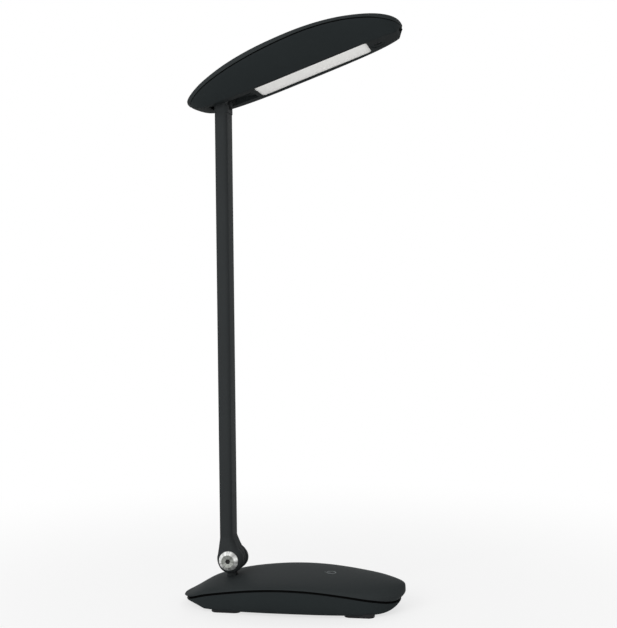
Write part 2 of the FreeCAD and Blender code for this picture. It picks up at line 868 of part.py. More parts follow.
def button(face, back, toward, chamfer):
    """Round head along Y between its face and its back, with a chamfer round the face."""
    radius = bolt_head_radius
    cone_end = face + toward * chamfer
    cone = Part.makeCone(radius - chamfer, radius, chamfer, Vector(hinge_x, face, hinge_height),
                         Vector(0, toward, 0))
    return cone.fuse(cross_pin(hinge_x, hinge_height, min(cone_end, back), max(cone_end, back), radius))


def hinge_bolt():
    """Bright bolt with a tapered rim, a turned face and a hexagon socket."""
    back = bolt_head_back()
    face = back - bolt_head_thickness
    head = button(face, back, 1, bolt_chamfer)
    shank = cross_pin(hinge_x, hinge_height, back, cap_seat() + cap_hole_depth, bolt_radius)
    dish = cross_pin(hinge_x, hinge_height, face - overrun, face + bolt_face_depth, bolt_face_radius)
    socket = hexagon(hinge_x, hinge_height, face - overrun, face + bolt_socket_depth, bolt_socket_width)
    return without(head.fuse(shank), [dish, socket])


def hinge_cap():
    """Round nut that closes the far side of the hinge."""
    cap = button(cap_seat() + cap_thickness, cap_seat(), -1, cap_chamfer)
    return cap.cut(cross_pin(hinge_x, hinge_height, cap_seat() - overrun, cap_seat() + cap_hole_depth, bolt_radius))


def hinge_washer(side):
    inner = tongue_width / 2 + running_clearance
    ends = (side * inner, side * (inner + washer_thickness))
    return washer(hinge_x, hinge_height, min(ends), max(ends), washer_radius, bolt_radius)


def neck():
    """Upper knuckle: a spigot in the arm below, two eyes on the head's axle above."""
    half = arm_thickness / 2 + neck_overlap
    block = rounded_plate(arm_x - half, arm_x + half, neck_half_width, arm_top, arm_top + neck_shoulder,
                          arm_corner)
    eye = cross_pin(arm_x, pivot.z, -neck_half_width, neck_half_width, neck_eye_radius)
    body = joined(block, [eye, spigot(arm_top - spigot_length, arm_top + overrun)])
    gap = box(arm_x - arm_thickness, arm_x + arm_thickness, -neck_gap_half_width, neck_gap_half_width,
              arm_top + neck_gap_floor, pivot.z + arm_thickness)
    bore = cross_pin(arm_x, pivot.z, -arm_width, arm_width, axle_radius + running_clearance)
    return without(body, [gap, bore, cable_way()] + grub_holes())


def arm_cable():
    low = hinge_height + tongue_radius + moving_clearance + cable_end
    return peg(arm_x, 0, low, arm_top + neck_gap_floor + cable_end, cable_radius)


def arm_nodes():
    nodes = {
        "lower_knuckle": lower_knuckle(),
        "hinge_bolt": hinge_bolt(),
        "hinge_cap": hinge_cap(),
        "spring_washer": washer(hinge_x, hinge_height, bolt_head_back(), bolt_seat(), spring_washer_radius,
                                bolt_radius),
        "arm_tube": arm_tube(),
        "arm_cable": arm_cable(),
        "neck": neck(),
    }
    for i, side in enumerate(sides, 1):
        nodes["hinge_washer_%d" % i] = hinge_washer(side)
    for i, z in enumerate(grub_places(), 1):
        nodes["grub_screw_%d" % i] = grub_pin(z, grub_length, grub_radius)
    return nodes


def slot_and_channel():
    """Way through the underside for the neck, and the sloping channel in front of it."""
    below = -head_pivot_depth - overrun
    slot = box(-slot_rear, slot_front, -ear_inside, ear_inside, below, head_floor + overrun)
    channel = side_prism([(slot_front - overrun, below), (slot_front - overrun, channel_high),
                          (slot_front, channel_high), (channel_end, channel_low), (channel_end, below)],
                         ear_inside)
    return [slot, channel]


def panel_form(grow, z0, z1):
    return rounded_plate(panel_start - grow, panel_end + grow, panel_half_width + grow, z0, z1,
                         panel_corner + grow)


def led_post_places():
    return [(x, side * led_post_y) for x in led_post_stations for side in sides]


def recess_seat():
    return recess_depth + screw_head_height - head_pivot_depth


def axle_room():
    """Level room for the ears, and hollows in the floor below the ends of the axle."""
    half = neck_eye_radius + slide_clearance
    ears = box(-half, slot_front, -ear_outside - slide_clearance, ear_outside + slide_clearance,
               head_floor, channel_roof)
    reach = ear_outside + axle_end + slide_clearance
    radius = axle_head_radius + slide_clearance
    return [ears, box(-radius, radius, -reach, reach, -radius, channel_roof)]


def head_hull(lower):
    """Lower half of the head: neck slot, light opening, screw recesses and posts."""
    below = -head_pivot_depth - overrun
    middle = head_floor - head_wall / 2
    block_half = ear_inside + channel_side_wall
    block = box(slot_front, channel_end + channel_end_wall, -block_half, block_half, middle, channel_roof)
    boss = peg(recess_x, 0, middle, front_boss_top, boss_radius)
    posts = [peg(x, y, middle, reflector_top, led_post_radius) for x, y in led_post_places()]
    shell = joined(lower, [block, boss] + posts)
    cuts = slot_and_channel()
    cuts.append(panel_form(0, below, head_floor + overrun))
    cuts.append(panel_form(panel_flange + slide_clearance, head_floor, reflector_top))
    cuts.append(oval(recess_x, 0, recess_half_length, recess_half_width, below, recess_depth - head_pivot_depth))
    for x, seat in ((channel_screw_x, channel_screw_seat), (recess_x, recess_seat())):
        cuts.append(peg(x, 0, below, seat, screw_head_radius + slide_clearance))
        cuts.append(peg(x, 0, below, channel_roof + overrun, screw_radius + slide_clearance))
    cuts += [peg(x, y, head_floor + head_wall, reflector_top + overrun, screw_radius)
             for x, y in led_post_places()]
    cuts += axle_room()
    return without(shell, cuts)


def head_cover(upper, pod):
    """Upper half of the head with the two posts that its screws enter."""
    ends = ((channel_screw_x, bracket_top), (recess_x, front_boss_top))
    posts = [peg(x, 0, z, pod.rim(x) + pod.rise(x) - pod.wall / 2, cover_post_radius) for x, z in ends]
    pilots = [peg(x, 0, z - overrun, z + cover_screw_reach, screw_radius) for x, z in ends]
    return without(joined(upper, posts), pilots)


def head_bracket():
    """Steel bracket on the hull with one ear each side of the neck."""
    plate = box(slot_front + ear_thickness, bracket_end, -ear_outside, ear_outside, channel_roof, bracket_top)
    parts = []
    for side in sides:
        y0, y1 = sorted((side * ear_inside, side * ear_outside))
        parts.append(box(-neck_eye_radius, ear_front, y0, y1, head_floor, bracket_top))
        parts.append(box(-neck_eye_radius, bracket_end, y0, y1, channel_roof, bracket_top))
    hole = cross_pin(0, 0, -ear_outside - overrun, ear_outside + overrun, axle_radius)
    way = peg(channel_screw_x, 0, channel_roof - overrun, bracket_top + overrun, screw_radius + slide_clearance)
    return without(joined(plate, parts), [hole, way])


def head_axle():
    far_end = ear_outside + axle_end
    shank = cross_pin(0, 0, -ear_outside, far_end, axle_radius)
    head = cross_pin(0, 0, -ear_outside - axle_head_thickness, -ear_outside, axle_head_radius)
    return shank.fuse(head)


def axle_washer(side):
    inner = neck_half_width + running_clearance
    ends = (side * inner, side * (inner + axle_washer_thickness))
    return washer(0, 0, min(ends), max(ends), axle_washer_radius, axle_radius)


def diffuser():
    """Light panel: a flange inside the hull and a face set into the opening."""
    face = panel_form(-slide_clearance, panel_recess - head_pivot_depth, head_floor)
    return face.fuse(panel_form(panel_flange, head_floor, head_floor + panel_thickness))


def reflector():
    """Open tray over the panel with a window for the lights."""
    low = head_floor + panel_thickness
    tray = panel_form(panel_flange, low, reflector_top)
    hollow = panel_form(panel_flange - reflector_wall, low - overrun, reflector_top - reflector_wall)
    window = box(panel_start + reflector_window_margin, panel_end - reflector_window_margin,
                 -reflector_window_half_width, reflector_window_half_width, low, reflector_top + overrun)
    return without(tray, [hollow, window])


def led_board():
    """Metal board on the tray with its lights facing down."""
    top = reflector_top + led_board_thickness
    board = box(led_board_start, led_board_end, -led_board_half_width, led_board_half_width, reflector_top, top)
    pitch = (led_board_end - led_board_start) / (led_count + 1)
    half = led_size / 2
    lights = [box(led_board_start + pitch * i - half, led_board_start + pitch * i + half, -half, half,
                  reflector_top - led_height, reflector_top) for i in range(1, led_count + 1)]
    holes = [peg(x, y, reflector_top - overrun, top + overrun, screw_radius + slide_clearance)
             for x, y in led_post_places()]
    return without(joined(board, lights), holes)


def on_head(shape):
    """Piece made in the head's frame, put at the pivot with the head's tilt."""
    placed = shape.copy()
    placed.rotate(Vector(0, 0, 0), Vector(0, 1, 0), -head_tilt_deg)
    placed.translate(pivot)
    return placed


def head_nodes():
    pod = head_pod()
    lower, upper = shells(pod)
    board_top = reflector_top + led_board_thickness
    nodes = {
        "head_hull": head_hull(lower),
        "head_cover": head_cover(upper, pod),
        "head_bracket": head_bracket(),
        "head_axle": head_axle(),
        "retaining_ring": washer(0, 0, ear_outside, ear_outside + ring_thickness, ring_radius, axle_radius),
        "diffuser": diffuser(),
        "reflector": reflector(),
        "led_board": led_board(),
        "head_screw_1": screw(channel_screw_x, 0, channel_screw_seat, bracket_top + cover_screw_reach, -1),
        "head_screw_2": screw(recess_x, 0, recess_seat(), front_boss_top + cover_screw_reach, -1),
    }
    for i, side in enumerate(sides, 1):
        nodes["axle_washer_%d" % i] = axle_washer(side)
    for i, (x, y) in enumerate(led_post_places(), 1):
        nodes["led_screw_%d" % i] = screw(x, y, board_top, reflector_top - screw_reach, 1)
    return {name: on_head(shape) for name, shape in nodes.items()}


for group in (base_nodes(), arm_nodes(), head_nodes()):
    for name, shape in group.items():
        shape.exportStep(os.path.join(OUT, name + ".step"))
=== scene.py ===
"""Looks of the led table lamp, built round its CAD frame. Metres, +Z up, +X to the base's front tip."""
import json
import math

import bpy
from mathutils import Matrix, Vector

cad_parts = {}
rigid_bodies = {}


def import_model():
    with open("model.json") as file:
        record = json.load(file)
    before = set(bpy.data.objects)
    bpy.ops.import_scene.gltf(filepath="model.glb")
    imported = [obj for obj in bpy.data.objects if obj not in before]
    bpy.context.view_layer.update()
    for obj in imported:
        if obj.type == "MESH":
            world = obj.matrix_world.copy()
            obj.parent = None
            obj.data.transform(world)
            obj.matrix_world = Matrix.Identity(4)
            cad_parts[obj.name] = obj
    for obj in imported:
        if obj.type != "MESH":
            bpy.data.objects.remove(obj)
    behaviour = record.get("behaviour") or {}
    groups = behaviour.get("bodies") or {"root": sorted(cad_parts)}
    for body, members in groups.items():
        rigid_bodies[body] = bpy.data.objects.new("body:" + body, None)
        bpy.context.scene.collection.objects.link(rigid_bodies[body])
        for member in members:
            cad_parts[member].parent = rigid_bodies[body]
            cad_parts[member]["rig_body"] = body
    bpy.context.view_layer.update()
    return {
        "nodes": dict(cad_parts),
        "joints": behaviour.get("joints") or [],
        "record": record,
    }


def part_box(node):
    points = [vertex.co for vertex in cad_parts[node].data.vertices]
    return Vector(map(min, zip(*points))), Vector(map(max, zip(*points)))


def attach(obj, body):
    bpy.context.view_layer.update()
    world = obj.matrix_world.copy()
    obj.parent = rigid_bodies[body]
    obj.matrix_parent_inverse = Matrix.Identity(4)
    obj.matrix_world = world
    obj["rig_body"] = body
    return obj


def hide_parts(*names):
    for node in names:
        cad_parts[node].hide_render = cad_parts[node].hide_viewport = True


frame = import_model()

MM = 0.001

# Camera, as it stood for the photograph
CAMERA_PLACE = (0.15253, -0.78943, 0.22418)
CAMERA_TURN_DEG = 10.1
CAMERA_PITCH_DEG = 1.84
CAMERA_ROLL_DEG = -0.58
CAMERA_FOCAL_PX = 1187
PHOTO_WIDTH_PX = 617
SENSOR_WIDTH_MM = 36
CAMERA_REACH = 50

# Forms of the two housings, in mm and shares; each pair is for the rear half and the front half
BASE = dict(
    half_length=76.2, half_width=36.0, land=30.0, middle=0.0, underside=2.0,
    rim_height=16.4, rise=8.0, wall=2.4, groove=1.6,
    plan_power=2.2, land_power=3.0, dome_power=2.3, flank_power=2.25,
    nose_powers=(7.03, 8.11), tray_powers=(11.3, 10.2), lift_powers=(1.2, 3.57),
    level_shares=(0.75, 0.763),
    rim_shares=(0.164, 0.544, 0.796, 0.952, 1.004, 0.953, 0.794, 0.552, 0.327),
    rise_shares=(0.248, 0.616, 0.609, 0.522, 0.563, 0.694, 0.952, 1.317, 1.517),
    tip_drop=0.0, tip_power=8, widest_share=0.337,
    overhangs=(1.7, 3.07), overhang_start=0.62, overhang_power=1.62)
HEAD = dict(
    half_length=76.8, half_width=40.95, land=21.1, middle=54.0, underside=-3.5,
    rim_height=16.6, rise=4.7, wall=2.0, groove=0.9,
    plan_power=2.3, land_power=3.0, dome_power=7.98, flank_power=1.1,
    nose_powers=(10.64, 2.77), tray_powers=(3.68, 8.0), lift_powers=(3.83, 1.237),
    level_shares=(0.746, 0.942),
    rim_shares=(0.478, 0.709, 0.88, 0.995, 1.062, 1.084, 1.037, 0.909, 0.706),
    rise_shares=(0.757, 0.785, 0.876, 0.879, 0.791, 0.7, 0.671, 0.787, 1.305),
    tip_drop=0.465, tip_power=2.2, widest_share=0.2,
    overhangs=(1.6, 0.727), overhang_start=0.6, overhang_power=2.589)
HEAD_TILT_DEG = 19.8
HOUSING_ROWS = 120
HOUSING_COLUMNS = 72
HOUSING_SMOOTH_DEG = 40

# Shares of a tray: its columns on the flat land, its depth by which a tip lifts, the land's widest part
FLAT_SHARE = 0.35
TIP_LIFT_SHARE = 0.92
LAND_LIMIT = 0.98
# How sharply the overhang fades up a dome, and the least heights of dome and tray in mm
OVERHANG_FADE = 1.5
THINNEST_DOME = 0.1
THINNEST_TRAY = 0.3

# Lip inside a parting groove, in mm
LIP_INSET = 1.2
LIP_HALF_HEIGHT = 1.4
LIP_WALL = 1.0

# Bars joined to or cut out of the housings: two corners, edge radius and its segments, in mm
CHANNEL_BLOCK = ((6.9, -12.2, -2.6), (23.4, 12.2, 4.4), 0)
CHANNEL = ((6.9, -10.2, -6), (22.8, 10.2, 1.5), 0)
NECK_SLOT = ((-8.8, -10.2, -6), (7.0, 10.2, 2.0), 0.8, 2)
PANEL_WAY = ((25, -17.4, -6), (105.3, 17.4, 1), 3.0, 6)
CHANNEL_FRONT_HEIGHT = -2.0
STEM_WAY_HALF_LENGTH = 3.2
STEM_WAY_HALF_WIDTH = 3.4
STEM_WAY_HEIGHTS = (5, 30)
STEM_WAY_CORNER = 0.6

# Seats and recesses in the housings, in mm
PLAY = 0.15
FOOT_CORNER = 4.1
PORT_CORNER = 1.5
PORT_DEPTHS = (-50, -25)
SCREW_WAY_RADIUS = 2.85
SCREW_WAY_DEPTH = 6
REAR_SCREW_X = 17.0
FRONT_SCREW_X = 111.5
HEAD_SCREW_SEATS = ((REAR_SCREW_X, 1.4), (FRONT_SCREW_X, -0.9))
FRONT_BOSS_RADIUS = 4.4
FRONT_BOSS_HEIGHT = 4.6
FRONT_BOSS_Z = -0.3
FRONT_RECESS_SIZE = (5.0, 9.0, 4.0)
FRONT_RECESS_Z = -5.0
FRONT_RECESS_SIDES = 72

# Faces whose normal's height is below this look down
DOWNWARD = -0.5

# Touch mark, in mm: the ring, its gap and the short line, both towards the rear
MARK_PLACE = (25.9, -0.5)
MARK_RADIUS = 3.3
MARK_HOLE_RADIUS = 2.8
MARK_SIDES = 96
MARK_GAP_LENGTH = 5
MARK_GAP_HALF_WIDTH = 1.0
MARK_LINE_START = 4.6
MARK_LINE_END = 0.6
MARK_LINE_HALF_WIDTH = 0.25
MARK_LINE_CORNER = 0.2
MARK_PROUD = 0.04
MARK_ROOT = 0.3

# Knuckle, in mm: its seam, and changes to its outline as pairs of height over the hinge and shift
KNUCKLE_SEAM = 15.2
KNUCKLE_FRONT = ((-9.4, 0.5), (-3.4, 0.9), (-0.7, 0.75), (2.0, 0.5), (4.6, 0.0), (7.3, -0.4), (10.0, -0.5),
                 (12.6, -0.9), (15.2, 0.0))
KNUCKLE_BACK = ((-9.4, 0.2), (-3.4, 0.6), (-0.7, 0.5), (2.0, 0.3), (7.3, 0.3), (12.6, 0.3), (15.2, 0.0))
KNUCKLE_BLEND = 4
KNUCKLE_EDGE = 0.5
CHEEK_INNER = 2.5
CHEEK_BLEND = 2
DRUM_TOP = 5

# Bolt head, in mm from the hinge
BOLT_EDGE = 0.12
BOLT_HEAD_START = -10
BOLT_DISC_RADIUS = 4.45
BOLT_SOCKET_RADIUS = 1.75
BOLT_SOCKET_FLOOR = -12.75

# Welding, flattening and rounding of meshes
WELD = 2e-6
FLAT_ANGLE_DEG = 0.6
EDGE_ANGLE_DEG = 32
EDGE_SEGMENTS = 2

# Floor in metres, where it starts and ends turning white to the camera, and its white near the lamp
FLOOR_SIZE = 12
FLOOR_NEAR = 0.12
FLOOR_FAR = 0.5
FLOOR_NEAR_WHITE = 0.7

# Soft lights: name, place, size in metres and watts
LIGHTS = (("key", (-0.8, -1.4, 0.9), 1.2, 14), ("fill", (0.7, -1.5, 0.5), 1.2, 7),
          ("back", (0.3, 1.3, 1.2), 1.0, 4))
LIGHT_AIM = Vector((0, 0, 0.2))
SKY_STRENGTH = 0.5

hinge = Vector(frame["joints"][0]["pos_m"])
pivot = Vector(frame["joints"][1]["pos_m"])
HEAD_PLACE = Matrix.Translation(pivot) @ Matrix.Rotation(math.radians(-HEAD_TILT_DEG), 4, "Y")


# Mesh helpers

def clear_selection():
    bpy.ops.object.select_all(action="DESELECT")


def pick(piece):
    """Selects one object and makes it the active one."""
    clear_selection()
    piece.select_set(True)
    bpy.context.view_layer.objects.active = piece


def settle(piece):
    """Puts an object's place into its mesh."""
    pick(piece)
    bpy.ops.object.transform_apply(location=True, rotation=True, scale=True)
    return piece


def start(name):
    """Names the piece that an operator has just made."""
    piece = bpy.context.active_object
    piece.name = name
    piece.data.name = name
    return piece


def apply_all(piece):
    pick(piece)
    for modifier in list(piece.modifiers):
        bpy.ops.object.modifier_apply(modifier=modifier.name)


def smooth(piece, angle_deg):
    pick(piece)
    bpy.ops.object.shade_smooth_by_angle(angle=math.radians(angle_deg))


def edge_round(piece, width_mm):
    """Small rounding on every sharp edge."""
    bevel = piece.modifiers.new("edge", "BEVEL")
    bevel.width = width_mm * MM
    bevel.segments = EDGE_SEGMENTS
    bevel.limit_method = "ANGLE"
    bevel.angle_limit = math.radians(EDGE_ANGLE_DEG)
    bevel.miter_outer = "MITER_ARC"
    bevel.use_clamp_overlap = True
    apply_all(piece)


def merge(piece):
    pick(piece)
    bpy.ops.object.mode_set(mode="EDIT")
    bpy.ops.mesh.select_all(action="SELECT")
    bpy.ops.mesh.remove_doubles(threshold=WELD)
    bpy.ops.object.mode_set(mode="OBJECT")


def face_out(piece):
    pick(piece)
    bpy.ops.object.mode_set(mode="EDIT")
    bpy.ops.mesh.select_all(action="SELECT")
    bpy.ops.mesh.normals_make_consistent(inside=False)
    bpy.ops.object.mode_set(mode="OBJECT")


def bore(piece, cutter, operation="DIFFERENCE"):
    """Cuts a closed shape out of a piece, or joins it on, and removes the cutter."""
    cut = piece.modifiers.new("cut", "BOOLEAN")
    cut.operation = operation
    cut.solver = "EXACT"
    cut.object = cutter
    apply_all(piece)
    bpy.data.objects.remove(cutter)


def rounded_bar(name, low, high, corner_mm, segments=5):
    """Closed bar between two corners, in mm, with rounded upright edges."""
    low, high = Vector(low) * MM, Vector(high) * MM
    clear_selection()
    bpy.ops.mesh.primitive_cube_add(size=1, location=(low + high) / 2)
    piece = start(name)
    piece.scale = high - low
    settle(piece)
    if corner_mm:
        bpy.ops.object.mode_set(mode="EDIT")
        bpy.ops.mesh.select_mode(type="EDGE")
        bpy.ops.mesh.select_all(action="DESELECT")
        bpy.ops.object.mode_set(mode="OBJECT")
        for edge in piece.data.edges:
            a, b = (piece.data.vertices[i].co for i in edge.vertices)
            edge.select = abs(a.z - b.z) > (high.z - low.z) / 2
        bpy.ops.object.mode_set(mode="EDIT")
        bpy.ops.mesh.bevel(offset=corner_mm * MM, segments=segments, affect="EDGES")
        bpy.ops.object.mode_set(mode="OBJECT")
    return piece


def round_bar(name, centre, radius_mm, depth_mm, sides=64):
    """Closed upright round bar, centred on a point in mm."""
    clear_selection()
    bpy.ops.mesh.primitive_cylinder_add(vertices=sides, radius=radius_mm * MM, depth=depth_mm * MM,
                                        location=Vector(centre) * MM)
    return settle(start(name))


def box_mm(node):
    low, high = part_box(node)
    return low / MM, high / MM


def dressed(node, edge_mm):
    """Copy of a CAD node with merged faces and softly rounded edges, standing for the node."""
    source = frame["nodes"][node]
    piece = bpy.data.objects.new(node + "_finish", source.data.copy())
    bpy.context.scene.collection.objects.link(piece)
    piece.data.materials.clear()
    pick(piece)
    bpy.ops.object.mode_set(mode="EDIT")
    bpy.ops.mesh.select_all(action="SELECT")
    bpy.ops.mesh.remove_doubles(threshold=WELD)
    bpy.ops.mesh.dissolve_limited(angle_limit=math.radians(FLAT_ANGLE_DEG))
    bpy.ops.object.mode_set(mode="OBJECT")
    edge_round(piece, edge_mm)
    smooth(piece, EDGE_ANGLE_DEG)
    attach(piece, source["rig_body"])
    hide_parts(node)
    return piece


# The housings' forms

def along(shares, share):
    """Smooth value between evenly spaced shares; share runs from -1 to 1."""
    last = len(shares) - 1
    place = min(max((share + 1) / 2 * last, 0), last)
    i = min(int(place), last - 1)
    t = place - i
    a, b = shares[i], shares[i + 1]
    slope_a = (b - shares[max(i - 1, 0)]) / 2
    slope_b = (shares[min(i + 2, last)] - a) / 2
    return (a * (1 + 2 * t) * (1 - t) ** 2 + slope_a * t * (1 - t) ** 2
            + b * t * t * (3 - 2 * t) - slope_b * t * t * (1 - t))


def between(stops, place):
    """Straight-line value between pairs of place and value, in rising order of place."""
    for (low, first), (high, last) in zip(stops, stops[1:]):
        if place <= high:
            return first + (last - first) * max(place - low, 0) / (high - low)
    return stops[-1][1]


def rounded(share, power):
    """Rounded arch: 1 in the middle, 0 at a share of -1 or 1."""
    return max(1 - abs(share) ** power, 0) ** (1 / power)


def bent(value, power):
    """Sine or cosine bent into a fuller or flatter arc."""
    return math.copysign(abs(value) ** (2 / power), value)


def rim(form, share):
    """Height of the parting line, which drops a little at the very front."""
    drop = form["tip_drop"] * (1 - rounded(max(share, 0), form["tip_power"]))
    return form["underside"] + form["rim_height"] * (along(form["rim_shares"], share) - drop)


def tipward(form, share):
    """0 up to where the overhang starts, 1 at either tip."""
    return max(abs(share) - form["overhang_start"], 0) / (1 - form["overhang_start"])


def overhang(form, share):
    """How far the rim lies inside the outline towards either tip."""
    reach = form["overhangs"][share > 0] * tipward(form, share) ** form["overhang_power"]
    return math.copysign(reach, share)


def dome_point(form, turn, across, inset=0.0, sunk=0.0):
    """Point of an upper housing; across runs from -1 at the left rim to 1 at the right."""
    share = math.sin(turn)
    edge = rim(form, share) + form["groove"] / 2
    height = form["rise"] * along(form["rise_shares"], share) - form["groove"] / 2 - sunk
    height = max(height, THINNEST_DOME)
    wide = (form["half_width"] - inset) * rounded(share, form["plan_power"])
    lean = (1 - across) * math.pi / 2
    up = bent(math.sin(lean), form["dome_power"])
    widest = form["widest_share"] * tipward(form, share)
    level = up if up < widest else widest + (up - widest) * rounded(share, form["nose_powers"][share > 0])
    x = form["middle"] + (form["half_length"] - inset) * share
    x -= overhang(form, share) * max(1 - up / form["widest_share"], 0) ** OVERHANG_FADE
    return Vector((x, wide * bent(math.cos(lean), form["dome_power"]), edge + height * level))


def tray_point(form, turn, across, inset=0.0, raised=0.0):
    """Point of a lower housing; its flat underside lies in the middle of its columns."""
    share = math.sin(turn)
    top = rim(form, share) - form["groove"] / 2
    level = form["level_shares"][share > 0]
    beyond = max(abs(share) - level, 0) / (1 - level)
    lift = beyond ** form["lift_powers"][share > 0] * TIP_LIFT_SHARE
    low = form["underside"] + raised + (top - form["underside"]) * lift
    low = top - max(top - low, THINNEST_TRAY) * rounded(share, form["tray_powers"][share > 0])
    wide = (form["half_width"] - inset) * rounded(share, form["plan_power"])
    land = min((form["land"] - inset) * rounded(share, form["land_power"]), wide * LAND_LIMIT)
    x = form["middle"] + (form["half_length"] - inset) * share - overhang(form, share)
    if abs(across) <= FLAT_SHARE:
        return Vector((x, land * across / FLAT_SHARE, low))
    lean = (1 - abs(across)) / (1 - FLAT_SHARE) * math.pi / 2
    out = land + (wide - land) * bent(math.cos(lean), form["flank_power"])
    height = top - (top - low) * bent(math.sin(lean), form["flank_power"])
    return Vector((x, math.copysign(out, across), height))


def skin(name, point, form, **inner):
    """Closed housing wall: an outer and an inner sheet from a grid, bridged round the rim."""
    sheets = []
    for label, offset in (("outer", {}), ("inner", inner)):
        clear_selection()
        bpy.ops.mesh.primitive_grid_add(x_subdivisions=HOUSING_ROWS, y_subdivisions=HOUSING_COLUMNS, size=2)
        sheet = start(name + "_" + label)
        for vertex in sheet.data.vertices:
            u, v = vertex.co.x, vertex.co.y
            vertex.co = point(form, u * math.pi / 2, v, **offset) * MM
        sheets.append(sheet)
    clear_selection()
    for sheet in sheets:
        sheet.select_set(True)
    bpy.context.view_layer.objects.active = sheets[0]
    bpy.ops.object.join()
    piece = start(name)
    merge(piece)
    bpy.ops.object.mode_set(mode="EDIT")
    bpy.ops.mesh.select_mode(type="EDGE")
    bpy.ops.mesh.select_all(action="DESELECT")
    bpy.ops.mesh.select_non_manifold(extend=False, use_boundary=True, use_wire=False, use_multi_face=False,
                                     use_non_contiguous=False, use_verts=False)
    bpy.ops.mesh.bridge_edge_loops()
    bpy.ops.object.mode_set(mode="OBJECT")
    face_out(piece)
    return piece


def rim_band(name, form):
    """Closed lip inside the parting groove."""
    clear_selection()
    bpy.ops.mesh.primitive_cylinder_add(vertices=2 * HOUSING_ROWS, radius=1, depth=2,
                                        end_fill_type="NOTHING")
    piece = start(name)
    for vertex in piece.data.vertices:
        around, side = math.atan2(vertex.co.y, vertex.co.x), vertex.co.z
        share = bent(math.cos(around), form["plan_power"])
        across = bent(math.sin(around), form["plan_power"])
        x = form["middle"] + (form["half_length"] - LIP_INSET) * share - overhang(form, share)
        y = (form["half_width"] - LIP_INSET) * across
        vertex.co = Vector((x, y, rim(form, share) + side * LIP_HALF_HEIGHT)) * MM
    wall = piece.modifiers.new("wall", "SOLIDIFY")
    wall.thickness = LIP_WALL * MM
    wall.offset = -1
    apply_all(piece)
    face_out(piece)
    return piece


def take_in(piece, other):
    """Joins another mesh into a piece."""
    pick(piece)
    other.select_set(True)
    bpy.ops.object.join()


def on_head(piece):
    """Carries a mesh from the head's own axes to the head's place."""
    piece.data.transform(HEAD_PLACE)


# Materials

def group(name, inputs, outputs):
    """Empty shader group with its sockets, and its own input and output nodes."""
    tree = bpy.data.node_groups.new(name, "ShaderNodeTree")
    for label, kind, value in inputs:
        socket = tree.interface.new_socket(name=label, in_out="INPUT", socket_type=kind)
        socket.default_value = value
    for label, kind in outputs:
        tree.interface.new_socket(name=label, in_out="OUTPUT", socket_type=kind)
    return tree, tree.nodes.new("NodeGroupInput"), tree.nodes.new("NodeGroupOutput")


def add(tree, kind, **values):
    node = tree.nodes.new(kind)
    for key, value in values.items():
        setattr(node, key, value)
    return node


def moulded_surface():
    """Fine sand texture with slow colour drift, as on moulded or painted housings."""
    tree, inside, outside = group(
        "moulded surface",
        [("Color", "NodeSocketColor", (0.1, 0.1, 0.1, 1)), ("Drift", "NodeSocketFloat", 0.1),
         ("Grain per m", "NodeSocketFloat", 2500.0), ("Grain depth", "NodeSocketFloat", 0.1),
         ("Roughness", "NodeSocketFloat", 0.5), ("Gloss drift", "NodeSocketFloat", 0.08)],
        [("Color", "NodeSocketColor"), ("Roughness", "NodeSocketFloat"), ("Normal", "NodeSocketVector")])
    link = tree.links.new
    place = add(tree, "ShaderNodeTexCoord")
    slow = add(tree, "ShaderNodeTexNoise")
    slow.inputs["Scale"].default_value = 28
    slow.inputs["Detail"].default_value = 4
    link(place.outputs["Object"], slow.inputs["Vector"])
    centred = add(tree, "ShaderNodeMath", operation="SUBTRACT")
    centred.inputs[1].default_value = 0.5
    link(slow.outputs["Fac"], centred.inputs[0])
    drift = add(tree, "ShaderNodeMath", operation="MULTIPLY_ADD")
    drift.inputs[2].default_value = 1
    link(centred.outputs[0], drift.inputs[0])
    link(inside.outputs["Drift"], drift.inputs[1])
    tint = add(tree, "ShaderNodeVectorMath", operation="SCALE")
    link(inside.outputs["Color"], tint.inputs[0])
    link(drift.outputs[0], tint.inputs["Scale"])
    link(tint.outputs[0], outside.inputs["Color"])
    gloss = add(tree, "ShaderNodeMath", operation="MULTIPLY_ADD")
    link(centred.outputs[0], gloss.inputs[0])
    link(inside.outputs["Gloss drift"], gloss.inputs[1])
    link(inside.outputs["Roughness"], gloss.inputs[2])
    link(gloss.outputs[0], outside.inputs["Roughness"])
    grain = add(tree, "ShaderNodeTexNoise")
    grain.inputs["Detail"].default_value = 2
    link(place.outputs["Object"], grain.inputs["Vector"])
    link(inside.outputs["Grain per m"], grain.inputs["Scale"])
    bump = add(tree, "ShaderNodeBump")
    bump.inputs["Distance"].default_value = 0.0001
    link(grain.outputs["Fac"], bump.inputs["Height"])
    link(inside.outputs["Grain depth"], bump.inputs["Strength"])
    link(bump.outputs["Normal"], outside.inputs["Normal"])
    return tree


